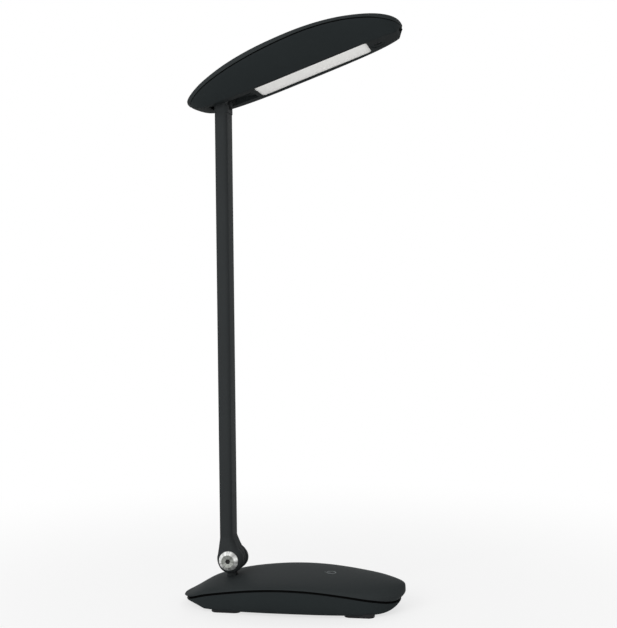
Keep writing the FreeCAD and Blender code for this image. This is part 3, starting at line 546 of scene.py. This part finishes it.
def brushed_surface():
    """Fine streaks along one way, as on rolled or drawn metal."""
    tree, inside, outside = group(
        "brushed surface",
        [("Color", "NodeSocketColor", (0.6, 0.6, 0.6, 1)), ("Roughness", "NodeSocketFloat", 0.35),
         ("Streaks", "NodeSocketVector", (300.0, 6000.0, 300.0)), ("Depth", "NodeSocketFloat", 0.15)],
        [("Color", "NodeSocketColor"), ("Roughness", "NodeSocketFloat"), ("Normal", "NodeSocketVector")])
    link = tree.links.new
    place = add(tree, "ShaderNodeTexCoord")
    stretch = add(tree, "ShaderNodeVectorMath", operation="MULTIPLY")
    link(place.outputs["Object"], stretch.inputs[0])
    link(inside.outputs["Streaks"], stretch.inputs[1])
    streak = add(tree, "ShaderNodeTexNoise")
    streak.inputs["Scale"].default_value = 1
    streak.inputs["Detail"].default_value = 3
    link(stretch.outputs[0], streak.inputs["Vector"])
    gloss = add(tree, "ShaderNodeMath", operation="MULTIPLY_ADD")
    gloss.inputs[1].default_value = 0.15
    link(streak.outputs["Fac"], gloss.inputs[0])
    link(inside.outputs["Roughness"], gloss.inputs[2])
    link(gloss.outputs[0], outside.inputs["Roughness"])
    shade = add(tree, "ShaderNodeMath", operation="MULTIPLY_ADD")
    shade.inputs[1].default_value = 0.16
    shade.inputs[2].default_value = 0.92
    link(streak.outputs["Fac"], shade.inputs[0])
    tint = add(tree, "ShaderNodeVectorMath", operation="SCALE")
    link(inside.outputs["Color"], tint.inputs[0])
    link(shade.outputs[0], tint.inputs["Scale"])
    link(tint.outputs[0], outside.inputs["Color"])
    bump = add(tree, "ShaderNodeBump")
    bump.inputs["Distance"].default_value = 0.00003
    link(streak.outputs["Fac"], bump.inputs["Height"])
    link(inside.outputs["Depth"], bump.inputs["Strength"])
    link(bump.outputs["Normal"], outside.inputs["Normal"])
    return tree


def turned_surface():
    """Fine rings round the Y axis through a centre, as on lathe work, and painted reflections: bright and
    dark streaks by the angle round that axis.
    """
    tree, inside, outside = group(
        "turned surface",
        [("Centre", "NodeSocketVector", (0.0, 0.0, 0.0)), ("Color", "NodeSocketColor", (0.8, 0.8, 0.8, 1)),
         ("Rings per m", "NodeSocketFloat", 3000.0), ("Streaks", "NodeSocketFloat", 0.5),
         ("Depth", "NodeSocketFloat", 0.3), ("Roughness", "NodeSocketFloat", 0.2)],
        [("Color", "NodeSocketColor"), ("Roughness", "NodeSocketFloat"), ("Normal", "NodeSocketVector")])
    link = tree.links.new
    place = add(tree, "ShaderNodeTexCoord")
    shift = add(tree, "ShaderNodeVectorMath", operation="SUBTRACT")
    link(place.outputs["Object"], shift.inputs[0])
    link(inside.outputs["Centre"], shift.inputs[1])
    flat = add(tree, "ShaderNodeVectorMath", operation="MULTIPLY")
    flat.inputs[1].default_value = (1, 0, 1)
    link(shift.outputs[0], flat.inputs[0])
    radius = add(tree, "ShaderNodeVectorMath", operation="LENGTH")
    link(flat.outputs[0], radius.inputs[0])
    count = add(tree, "ShaderNodeMath", operation="MULTIPLY")
    link(radius.outputs["Value"], count.inputs[0])
    link(inside.outputs["Rings per m"], count.inputs[1])
    noise = add(tree, "ShaderNodeTexNoise", noise_dimensions="1D")
    noise.inputs["Scale"].default_value = 1
    noise.inputs["Detail"].default_value = 2
    link(count.outputs[0], noise.inputs["W"])
    gloss = add(tree, "ShaderNodeMath", operation="MULTIPLY_ADD")
    gloss.inputs[1].default_value = 0.2
    link(noise.outputs["Fac"], gloss.inputs[0])
    link(inside.outputs["Roughness"], gloss.inputs[2])
    link(gloss.outputs[0], outside.inputs["Roughness"])
    # Painted reflection: bright and dark streaks by the angle round the axis stand in for the highlights of
    # turned metal.
    around = add(tree, "ShaderNodeVectorMath", operation="NORMALIZE")
    link(flat.outputs[0], around.inputs[0])
    streak = add(tree, "ShaderNodeTexNoise")
    streak.inputs["Scale"].default_value = 2.1
    streak.inputs["Detail"].default_value = 3
    streak.inputs["Roughness"].default_value = 0.6
    link(around.outputs[0], streak.inputs["Vector"])
    painted_reflection_lobes = add(tree, "ShaderNodeMapRange")
    painted_reflection_lobes.inputs["From Min"].default_value = 0.38
    painted_reflection_lobes.inputs["From Max"].default_value = 0.6
    painted_reflection_lobes.inputs["To Min"].default_value = -1
    painted_reflection_lobes.inputs["To Max"].default_value = 0
    link(streak.outputs["Fac"], painted_reflection_lobes.inputs["Value"])
    ringed = add(tree, "ShaderNodeMath", operation="MULTIPLY_ADD")
    ringed.inputs[1].default_value = 0.25
    ringed.inputs[2].default_value = 0.88
    link(noise.outputs["Fac"], ringed.inputs[0])
    shade = add(tree, "ShaderNodeMath", operation="MULTIPLY_ADD")
    link(painted_reflection_lobes.outputs["Result"], shade.inputs[0])
    link(inside.outputs["Streaks"], shade.inputs[1])
    link(ringed.outputs[0], shade.inputs[2])
    tint = add(tree, "ShaderNodeVectorMath", operation="SCALE")
    link(inside.outputs["Color"], tint.inputs[0])
    link(shade.outputs[0], tint.inputs["Scale"])
    link(tint.outputs[0], outside.inputs["Color"])
    bump = add(tree, "ShaderNodeBump")
    bump.inputs["Distance"].default_value = 0.00004
    link(noise.outputs["Fac"], bump.inputs["Height"])
    link(inside.outputs["Depth"], bump.inputs["Strength"])
    link(bump.outputs["Normal"], outside.inputs["Normal"])
    return tree


MOULDED = moulded_surface()
BRUSHED = brushed_surface()
TURNED = turned_surface()


def material(name, surface, metallic=0.0, specular=0.5, **values):
    """Principled material fed by one of the surface groups."""
    made = bpy.data.materials.new(name)
    made.use_nodes = True
    tree = made.node_tree
    shader = tree.nodes["Principled BSDF"]
    shader.inputs["Metallic"].default_value = metallic
    shader.inputs["Specular IOR Level"].default_value = specular
    feed = add(tree, "ShaderNodeGroup", node_tree=surface)
    for label, value in values.items():
        label = label.replace("_", " ").capitalize()
        feed.inputs[label].default_value = tuple(value) + (1,) if label == "Color" else value
    tree.links.new(feed.outputs["Color"], shader.inputs["Base Color"])
    tree.links.new(feed.outputs["Roughness"], shader.inputs["Roughness"])
    tree.links.new(feed.outputs["Normal"], shader.inputs["Normal"])
    return made


# Finishes; the groups' own values stand wherever none is given
housing_black = material("charcoal housing", MOULDED, color=(0.028, 0.032, 0.033), drift=0.16,
                         grain_per_m=3200, grain_depth=0.18, roughness=0.55, specular=0.012)
# Darker copy of the housing plastic for the lower shells: painted shade for surfaces that face down.
painted_shade_underside = material("painted shade underside charcoal", MOULDED, color=(0.02, 0.024, 0.025), drift=0.14,
                           grain_per_m=3200, grain_depth=0.2, roughness=0.55, specular=0.012)
# Darker still for the head's flat land: painted shade against the light that the floor throws up onto it.
painted_shade_land = material("painted shade land charcoal", MOULDED, color=(0.0145, 0.0172, 0.0178), drift=0.14,
                      grain_per_m=3200, grain_depth=0.2, roughness=0.6, specular=0.008)
groove_black = material("groove shadow black", MOULDED, color=(0.004, 0.004, 0.004), drift=0.1,
                        roughness=0.8, specular=0.0)
arm_paint = material("satin arm paint", MOULDED, color=(0.03, 0.033, 0.034), drift=0.12,
                     grain_per_m=4500, grain_depth=0.1, roughness=0.5, gloss_drift=0.06, specular=0.008)
foot_rubber = material("foot rubber", MOULDED, color=(0.012, 0.012, 0.013), drift=0.2,
                       grain_per_m=2500, grain_depth=0.3, roughness=0.85, specular=0.25)
panel_white = material("frosted panel", MOULDED, color=(0.95, 0.945, 0.92), drift=0.03,
                       grain_per_m=5000, grain_depth=0.08, roughness=0.5)
tray_white = material("tray white", MOULDED, color=(0.82, 0.82, 0.8), drift=0.03, roughness=0.6)
mark_grey = material("touch mark print", MOULDED, color=(0.16, 0.175, 0.18), drift=0.1, roughness=0.5,
                     specular=0.1)
board_green = material("board mask", MOULDED, color=(0.01, 0.09, 0.04), drift=0.15, roughness=0.35)
chip_black = material("chip body", MOULDED, color=(0.015, 0.015, 0.016), drift=0.1, roughness=0.5)
cable_black = material("cable jacket", MOULDED, color=(0.02, 0.02, 0.02), drift=0.1, roughness=0.6)
dark_screw = material("blackened screw", MOULDED, color=(0.015, 0.016, 0.016), drift=0.1, roughness=0.6,
                      specular=0.05)
copper_foil = material("copper foil", BRUSHED, metallic=1.0, color=(0.75, 0.42, 0.2), roughness=0.3)
steel_plain = material("plated steel", BRUSHED, metallic=1.0, color=(0.5, 0.51, 0.52), roughness=0.32)
steel_weight = material("rolled steel", BRUSHED, metallic=1.0, color=(0.33, 0.34, 0.35), roughness=0.45)
can_metal = material("can metal", BRUSHED, metallic=1.0, color=(0.7, 0.7, 0.72), roughness=0.3)
board_metal = material("light board mask", BRUSHED, metallic=0.2, color=(0.78, 0.78, 0.77), roughness=0.4)
# The streaks on both bolt finishes are painted reflections, bright and dark by the angle round the hinge.
bolt_silver = material("turned bolt", TURNED, metallic=0.55, centre=tuple(hinge), color=(0.9, 0.91, 0.89),
                       rings_per_m=2600, streaks=0.6, depth=0.25, roughness=0.3)
bolt_disc = material("turned bolt face", TURNED, metallic=1.0, centre=tuple(hinge), color=(0.3, 0.31, 0.29),
                     rings_per_m=3600, streaks=0.45, depth=0.6, roughness=0.35)
socket_black = material("socket shadow", MOULDED, metallic=0.3, color=(0.02, 0.02, 0.02), drift=0.1,
                        roughness=0.6, specular=0.2)

SLOT_FINISH = {
    "housing": housing_black, "arm": arm_paint, "foot": foot_rubber, "bright_metal": bolt_silver,
    "light_panel": panel_white, "reflector_white": tray_white, "circuit_board": board_green,
    "led_board": board_metal, "chip": chip_black, "can": can_metal, "copper": copper_foil,
    "cable": cable_black, "ballast": steel_weight, "steel": steel_plain, "fastener": steel_plain,
    "dark_fastener": dark_screw}


def finish(piece, *finishes):
    """Gives a piece these finishes and no others."""
    piece.data.materials.clear()
    for each in finishes:
        piece.data.materials.append(each)


for part in frame["record"]["subparts"]:
    finish(frame["nodes"][part["node"]], SLOT_FINISH[part["material_slot"]])
for node in ("head_bracket", "head_axle", "retaining_ring", "axle_washer_1", "axle_washer_2"):
    finish(frame["nodes"][node], arm_paint)


# Base housings

def dome_height(form, x, y):
    """Height of an upper housing above a place in the plan, all in mm."""
    share = (x - form["middle"]) / form["half_length"]
    wide = form["half_width"] * rounded(share, form["plan_power"])
    height = form["rise"] * along(form["rise_shares"], share) - form["groove"] / 2
    height *= rounded(share, form["nose_powers"][share > 0])
    return rim(form, share) + form["groove"] / 2 + height * rounded(y / wide, form["dome_power"])


def base_top():
    """Upper housing of the base, with a way for the hinge's stem."""
    piece = skin("base_top_skin", dome_point, BASE, inset=BASE["wall"], sunk=BASE["wall"])
    x = hinge.x / MM
    low, high = STEM_WAY_HEIGHTS
    way = rounded_bar("stem way", (x - STEM_WAY_HALF_LENGTH, -STEM_WAY_HALF_WIDTH, low),
                      (x + STEM_WAY_HALF_LENGTH, STEM_WAY_HALF_WIDTH, high), STEM_WAY_CORNER, 2)
    bore(piece, way)
    smooth(piece, HOUSING_SMOOTH_DEG)
    finish(piece, housing_black)
    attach(piece, "base")
    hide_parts("base_top_shell")


def base_bottom():
    """Lower housing of the base, with its recesses, screw ways, port way and lip."""
    piece = skin("base_bottom_skin", tray_point, BASE, inset=BASE["wall"], raised=BASE["wall"])
    for node in ("foot_1", "foot_2", "foot_3", "foot_4"):
        low, high = box_mm(node)
        bore(piece, rounded_bar("foot recess", (low.x - PLAY, low.y - PLAY, -1),
                                (high.x + PLAY, high.y + PLAY, high.z), FOOT_CORNER))
    for node in ("ballast_screw_1", "ballast_screw_2"):
        low, high = box_mm(node)
        middle = (low + high) / 2
        bore(piece, round_bar("screw way", (middle.x, middle.y, 2), SCREW_WAY_RADIUS, SCREW_WAY_DEPTH))
    low, high = box_mm("charge_port")
    outer, inner = PORT_DEPTHS
    mouth = rounded_bar("port way", (low.x - PLAY, low.z - PLAY, outer),
                        (high.x + PLAY, high.z + PLAY, inner), PORT_CORNER)
    mouth.data.transform(Matrix.Rotation(math.radians(90), 4, "X"))
    bore(piece, mouth)
    band = rim_band("base lip", BASE)
    smooth(piece, HOUSING_SMOOTH_DEG)
    # The lower housing takes the darker underside copy, which is painted shade.
    finish(piece, painted_shade_underside)
    finish(band, groove_black)
    take_in(piece, band)
    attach(piece, "base")
    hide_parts("base_bottom_shell")


def touch_mark():
    """Ring on the dome with a short line through its gap, printed slightly proud."""
    x, y = MARK_PLACE
    piece = round_bar("touch_mark", (x, y, 0), MARK_RADIUS, 2, MARK_SIDES)
    bore(piece, round_bar("ring hole", (x, y, 0), MARK_HOLE_RADIUS, 4, MARK_SIDES))
    bore(piece, rounded_bar("ring gap", (x - MARK_GAP_LENGTH, y - MARK_GAP_HALF_WIDTH, -3),
                            (x, y + MARK_GAP_HALF_WIDTH, 3), 0))
    line = rounded_bar("short line", (x - MARK_LINE_START, y - MARK_LINE_HALF_WIDTH, -1),
                       (x - MARK_LINE_END, y + MARK_LINE_HALF_WIDTH, 1), MARK_LINE_CORNER, 3)
    take_in(piece, line)
    for vertex in piece.data.vertices:
        above = MARK_PROUD if vertex.co.z > 0 else -MARK_ROOT
        vertex.co.z = (dome_height(BASE, vertex.co.x / MM, vertex.co.y / MM) + above) * MM
    finish(piece, mark_grey)
    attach(piece, "base")


# Head housings

def head_top():
    """Upper housing of the head."""
    piece = skin("head_top_skin", dome_point, HEAD, inset=HEAD["wall"], sunk=HEAD["wall"])
    smooth(piece, HOUSING_SMOOTH_DEG)
    finish(piece, housing_black)
    on_head(piece)
    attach(piece, "head")
    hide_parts("head_cover")


def channel_cutter():
    """Wedge below the sloping channel in front of the neck slot."""
    wedge = rounded_bar("channel", *CHANNEL)
    middle = (CHANNEL[0][0] + CHANNEL[1][0]) / 2 * MM
    for vertex in wedge.data.vertices:
        if vertex.co.z > 0 and vertex.co.x > middle:
            vertex.co.z = CHANNEL_FRONT_HEIGHT * MM
    return wedge


def front_recess_cutter():
    """Oval bar for the shallow recess round the front screw."""
    clear_selection()
    bpy.ops.mesh.primitive_cylinder_add(vertices=FRONT_RECESS_SIDES, radius=1, depth=1)
    hollow = start("recess")
    hollow.scale = Vector(FRONT_RECESS_SIZE) * MM
    hollow.location = Vector((FRONT_SCREW_X, 0, FRONT_RECESS_Z)) * MM
    return settle(hollow)


def paint_land_shade(piece):
    """Paints the flat land of the head's underside darker, as painted shade against the light it gets from
    the pale floor.
    """
    for face in piece.data.polygons:
        share = (face.center.x / MM - HEAD["middle"]) / HEAD["half_length"]
        reach = HEAD["land"] * rounded(share, HEAD["land_power"])
        if face.normal.z < DOWNWARD and abs(face.center.y) / MM < reach:
            face.material_index = 1


def head_bottom():
    """Lower housing of the head, with the neck's slot and channel, the panel's way and the lip."""
    piece = skin("head_bottom_skin", tray_point, HEAD, inset=HEAD["wall"], raised=HEAD["wall"])
    bore(piece, rounded_bar("channel block", *CHANNEL_BLOCK), "UNION")
    boss = round_bar("front boss", (FRONT_SCREW_X, 0, FRONT_BOSS_Z), FRONT_BOSS_RADIUS, FRONT_BOSS_HEIGHT)
    bore(piece, boss, "UNION")
    bore(piece, rounded_bar("neck slot", *NECK_SLOT))
    bore(piece, channel_cutter())
    bore(piece, rounded_bar("panel way", *PANEL_WAY))
    for x, seat in HEAD_SCREW_SEATS:
        middle = (x, 0, seat - SCREW_WAY_DEPTH / 2)
        bore(piece, round_bar("screw way", middle, SCREW_WAY_RADIUS, SCREW_WAY_DEPTH))
    bore(piece, front_recess_cutter())
    band = rim_band("head lip", HEAD)
    smooth(piece, HOUSING_SMOOTH_DEG)
    # Underside and land take darker copies of the housing plastic as painted shade, the land darker still
    # against the light from the floor below.
    finish(piece, painted_shade_underside, painted_shade_land)
    paint_land_shade(piece)
    finish(band, groove_black)
    take_in(piece, band)
    on_head(piece)
    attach(piece, "head")
    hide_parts("head_hull")


base_top()
touch_mark()
base_bottom()
head_top()
head_bottom()


# Plain pieces: node, edge radius in mm, finish and slot
for node, edge_mm, look, slot_name in (
        ("arm_tube", 0.45, arm_paint, "arm"), ("neck", 0.45, arm_paint, "arm"),
        ("diffuser", 0.2, panel_white, "light_panel"), ("hinge_cap", 0.15, bolt_silver, "bright_metal"),
        ("hinge_post", 0.3, arm_paint, "arm"), ("foot_1", 0.4, foot_rubber, "foot"),
        ("foot_2", 0.4, foot_rubber, "foot"), ("foot_3", 0.4, foot_rubber, "foot"),
        ("foot_4", 0.4, foot_rubber, "foot")):
    plain = dressed(node, edge_mm)
    finish(plain, look)


# Knuckle and bolt

def up_to_one(value):
    """Value kept between 0 and 1."""
    return min(max(value, 0), 1)


def knuckle():
    """Knuckle whose far cheek swells to the front and whose flare starts gently below the seam."""
    piece = dressed("lower_knuckle", KNUCKLE_EDGE)
    for vertex in piece.data.vertices:
        place = (vertex.co - hinge) / MM
        if place.z > KNUCKLE_SEAM:
            continue
        front = up_to_one(place.x / KNUCKLE_BLEND + 0.5)
        far = up_to_one((place.y - CHEEK_INNER) / CHEEK_BLEND)
        near = up_to_one((-place.y - CHEEK_INNER) / CHEEK_BLEND)
        swell = between(KNUCKLE_FRONT, place.z)
        shift = between(KNUCKLE_BACK, place.z)
        vertex.co.x += swell * front * (1 if swell < 0 else far) * MM
        vertex.co.x += shift * (1 - front) * (1 if place.z > DRUM_TOP else near) * MM
    finish(piece, arm_paint)


def bolt():
    """Bolt head with a bright tapered rim, a grey turned face and a dark socket."""
    piece = dressed("hinge_bolt", BOLT_EDGE)
    finish(piece, bolt_silver, bolt_disc, socket_black)
    for face in piece.data.polygons:
        centre = (face.center - hinge) / MM
        radius = Vector((centre.x, centre.z)).length
        if centre.y < BOLT_HEAD_START and radius < BOLT_DISC_RADIUS:
            in_socket = radius < BOLT_SOCKET_RADIUS and centre.y > BOLT_SOCKET_FLOOR
            face.material_index = 2 if in_socket else 1


knuckle()
bolt()


# Camera, floor and light

def camera():
    made = bpy.data.objects.new("camera", bpy.data.cameras.new("camera"))
    bpy.context.scene.collection.objects.link(made)
    made.data.sensor_fit = "HORIZONTAL"
    made.data.sensor_width = SENSOR_WIDTH_MM
    made.data.lens = SENSOR_WIDTH_MM * CAMERA_FOCAL_PX / PHOTO_WIDTH_PX
    made.data.clip_end = CAMERA_REACH
    made.location = CAMERA_PLACE
    turn = Matrix.Rotation(math.radians(CAMERA_TURN_DEG), 4, "Z")
    pitch = Matrix.Rotation(math.radians(90 - CAMERA_PITCH_DEG), 4, "X")
    roll = Matrix.Rotation(math.radians(CAMERA_ROLL_DEG), 4, "Z")
    made.rotation_euler = (turn @ pitch @ roll).to_euler()
    bpy.context.scene.camera = made


def white_to_camera(tree, shader, glow_kind, output, share=None):
    """Mixes a white glow over a surface or sky, for the camera, metal and glass alone."""
    glow = add(tree, glow_kind)
    glow.inputs["Color"].default_value = (1, 1, 1, 1)
    glow.inputs["Strength"].default_value = 1
    path = add(tree, "ShaderNodeLightPath")
    direct = add(tree, "ShaderNodeMath", operation="MAXIMUM")
    tree.links.new(path.outputs["Is Camera Ray"], direct.inputs[0])
    tree.links.new(path.outputs["Is Glossy Ray"], direct.inputs[1])
    seen = add(tree, "ShaderNodeMath", operation="MAXIMUM")
    tree.links.new(direct.outputs[0], seen.inputs[0])
    tree.links.new(path.outputs["Is Transmission Ray"], seen.inputs[1])
    amount = seen
    if share:
        amount = add(tree, "ShaderNodeMath", operation="MULTIPLY")
        tree.links.new(seen.outputs[0], amount.inputs[0])
        tree.links.new(share, amount.inputs[1])
    mix = add(tree, "ShaderNodeMixShader")
    tree.links.new(amount.outputs[0], mix.inputs["Fac"])
    tree.links.new(shader.outputs[0], mix.inputs[1])
    tree.links.new(glow.outputs[0], mix.inputs[2])
    tree.links.new(mix.outputs[0], output.inputs["Surface"])


def floor():
    """Pale floor that keeps the lamp's shadow and turns white further off."""
    clear_selection()
    bpy.ops.mesh.primitive_grid_add(x_subdivisions=8, y_subdivisions=8, size=FLOOR_SIZE)
    ground = start("floor")
    made = bpy.data.materials.new("pale floor")
    made.use_nodes = True
    tree = made.node_tree
    shader = tree.nodes["Principled BSDF"]
    shader.inputs["Base Color"].default_value = (0.9, 0.9, 0.9, 1)
    shader.inputs["Roughness"].default_value = 0.7
    shader.inputs["Specular IOR Level"].default_value = 0.1
    place = add(tree, "ShaderNodeTexCoord")
    reach = add(tree, "ShaderNodeVectorMath", operation="LENGTH")
    tree.links.new(place.outputs["Object"], reach.inputs[0])
    whiter = add(tree, "ShaderNodeMapRange", interpolation_type="SMOOTHSTEP")
    whiter.inputs["From Min"].default_value = FLOOR_NEAR
    whiter.inputs["From Max"].default_value = FLOOR_FAR
    whiter.inputs["To Min"].default_value = FLOOR_NEAR_WHITE
    whiter.inputs["To Max"].default_value = 1
    tree.links.new(reach.outputs["Value"], whiter.inputs["Value"])
    output = tree.nodes["Material Output"]
    white_to_camera(tree, shader, "ShaderNodeEmission", output, whiter.outputs["Result"])
    finish(ground, made)


def sky():
    """Even white sky, dimmer as a light than as it is seen."""
    world = bpy.data.worlds.new("studio")
    bpy.context.scene.world = world
    world.use_nodes = True
    tree = world.node_tree
    even = tree.nodes["Background"]
    even.inputs["Color"].default_value = (1, 1, 1, 1)
    even.inputs["Strength"].default_value = SKY_STRENGTH
    white_to_camera(tree, even, "ShaderNodeBackground", tree.nodes["World Output"])


def soft_light(name, place, size, watts):
    lamp = bpy.data.objects.new(name, bpy.data.lights.new(name, "AREA"))
    bpy.context.scene.collection.objects.link(lamp)
    lamp.data.size = size
    lamp.data.energy = watts
    lamp.location = place
    lamp.rotation_euler = (LIGHT_AIM - lamp.location).to_track_quat("-Z", "Y").to_euler()


camera()
floor()
sky()
for light in LIGHTS:
    soft_light(*light)
bpy.context.scene.view_settings.view_transform = "Standard"
